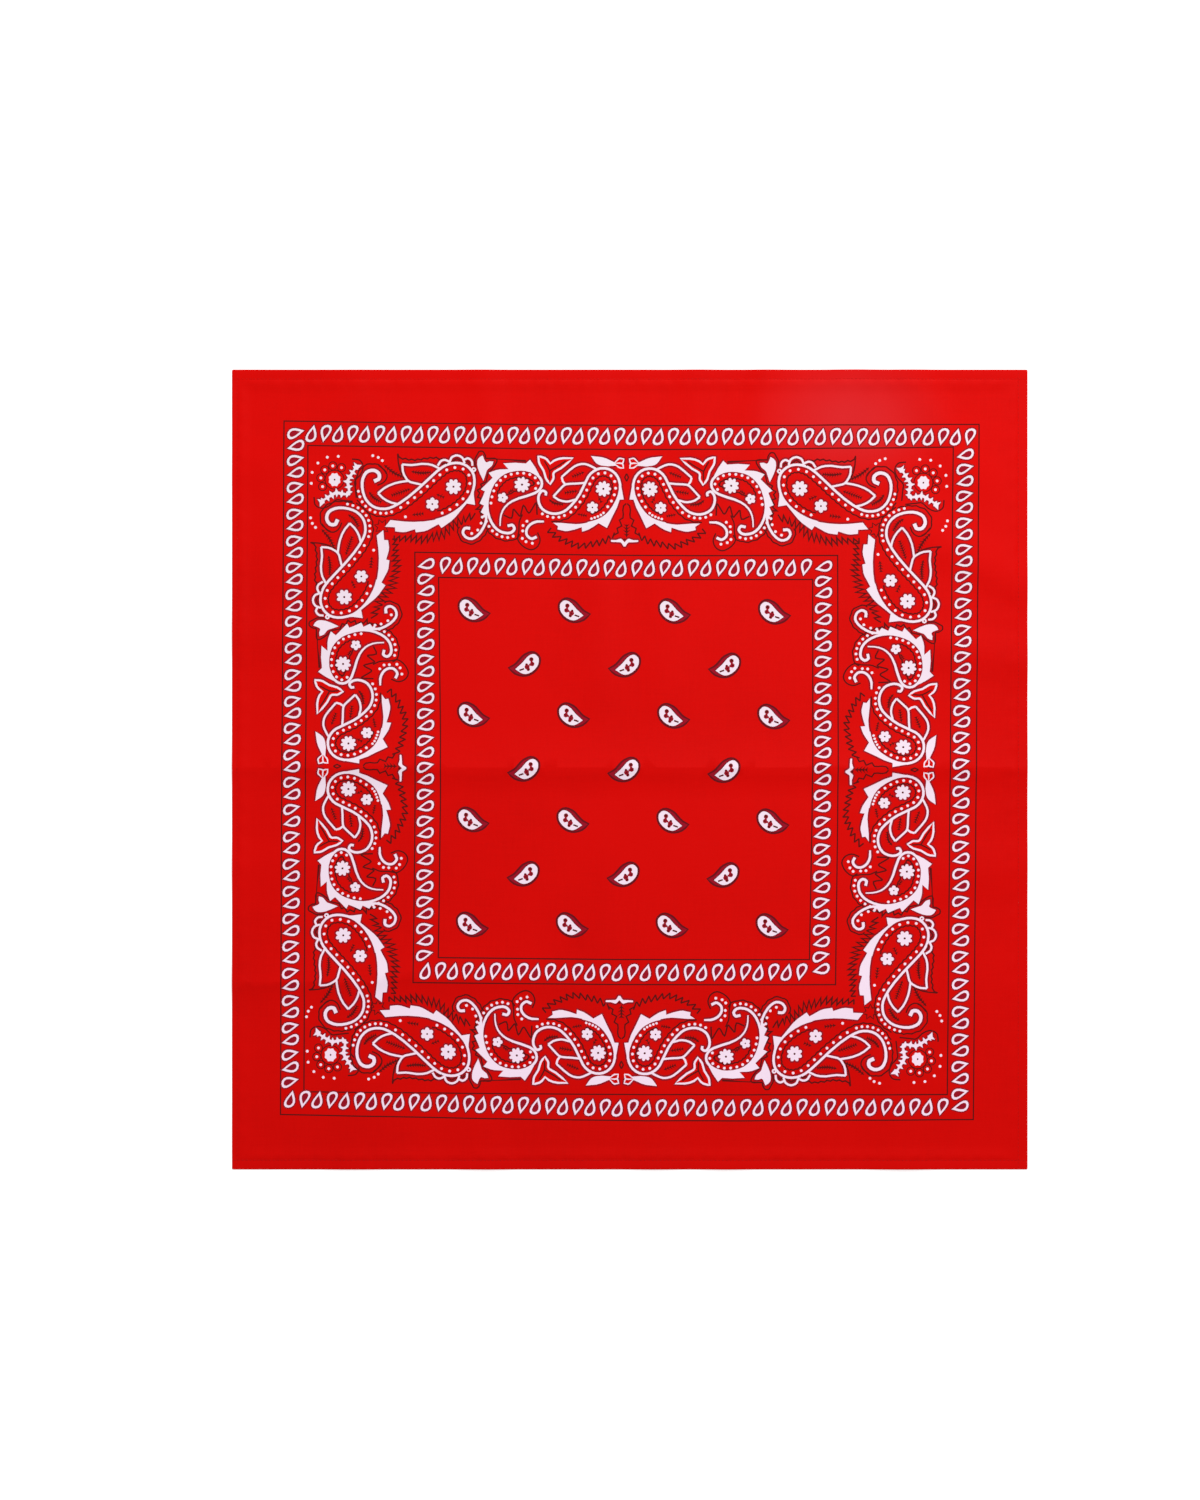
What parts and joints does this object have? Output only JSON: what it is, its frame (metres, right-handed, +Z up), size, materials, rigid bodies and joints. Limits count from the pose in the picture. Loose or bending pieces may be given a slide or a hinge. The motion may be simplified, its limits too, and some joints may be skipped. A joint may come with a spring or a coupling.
{
  "type": "bandana",
  "caption": "Square cotton bandana laid flat, with narrow turned-under hems, shallow fold marks and a paisley print.",
  "frame": {"origin": "middle of the cloth's outline, on the surface that it lies on", "axes": "+Z up, out of the printed face; +Y towards the top edge and +X towards the right edge, as it lies"},
  "size_m": [0.55, 0.553, 0.004],
  "materials": {
    "printed_cotton": "plain-weave cotton, bright red, printed in white and black",
    "hem_cotton": "the same red cotton, turned under, with the red sewing thread"
  },
  "bodies": {
    "root": {"cloth_panel": "printed_cotton", "hem_top": "hem_cotton", "hem_bottom": "hem_cotton", "hem_left": "hem_cotton", "hem_right": "hem_cotton"}
  },
  "joints": []
}
